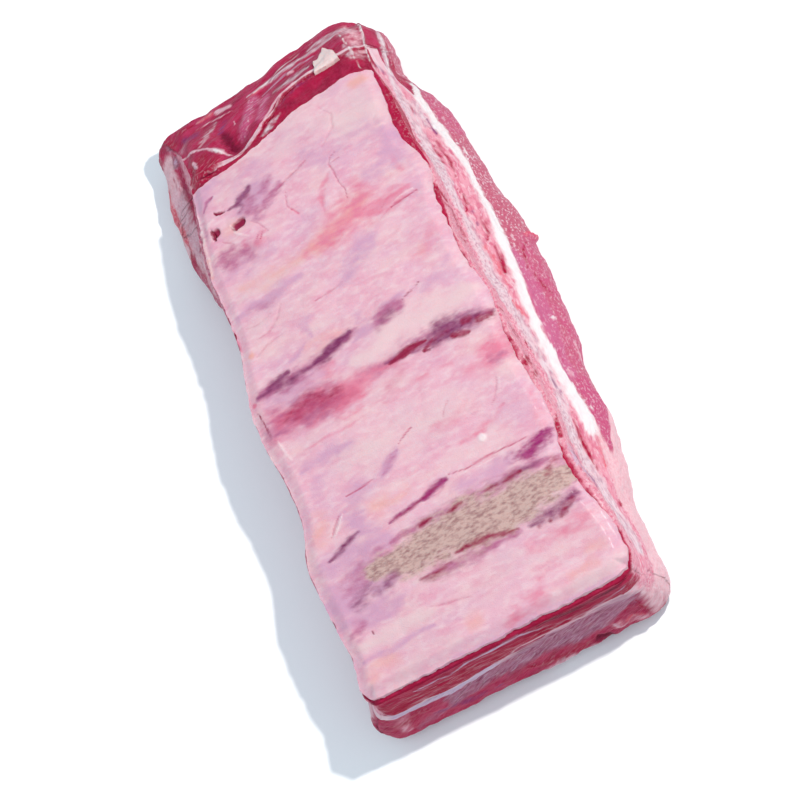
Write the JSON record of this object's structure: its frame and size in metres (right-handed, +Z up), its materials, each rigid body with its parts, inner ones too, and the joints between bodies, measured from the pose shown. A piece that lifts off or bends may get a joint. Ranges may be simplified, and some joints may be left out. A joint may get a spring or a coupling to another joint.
{
  "type": "raw short ribs",
  "caption": "Slab of raw beef short ribs, bone side up: a pink membrane over flat sawn bones in their meat, a fat seam, and thick muscle that runs past the bones as a sloping shelf.",
  "frame": {"origin": "on the table, under the middle of the slab's bounding box", "axes": "+X along the slab towards its near end, square to the bones; +Y towards the sawn long side that bulges out; +Z up from the meat side to the membrane"},
  "size_m": [0.3194, 0.1542, 0.0522],
  "materials": {
    "membrane": "moist, softly shining pale pink skin with lavender and blood-red stains",
    "bone": "sawn bone, granular and pink with red marrow",
    "plate_meat": "wet dark red meat with fine grain",
    "fat": "soft white and pink fat, slightly greasy",
    "muscle": "wet red and purple muscle with silvery fascia"
  },
  "bodies": {
    "root": {"rib_membrane": "membrane", "rib_bone_1": "bone", "rib_bone_2": "bone", "rib_bone_3": "bone", "rib_bone_4": "bone", "rib_meat": "plate_meat", "fat_seam": "fat", "fat_chunk": "fat", "chuck_muscle": "muscle"}
  },
  "joints": []
}
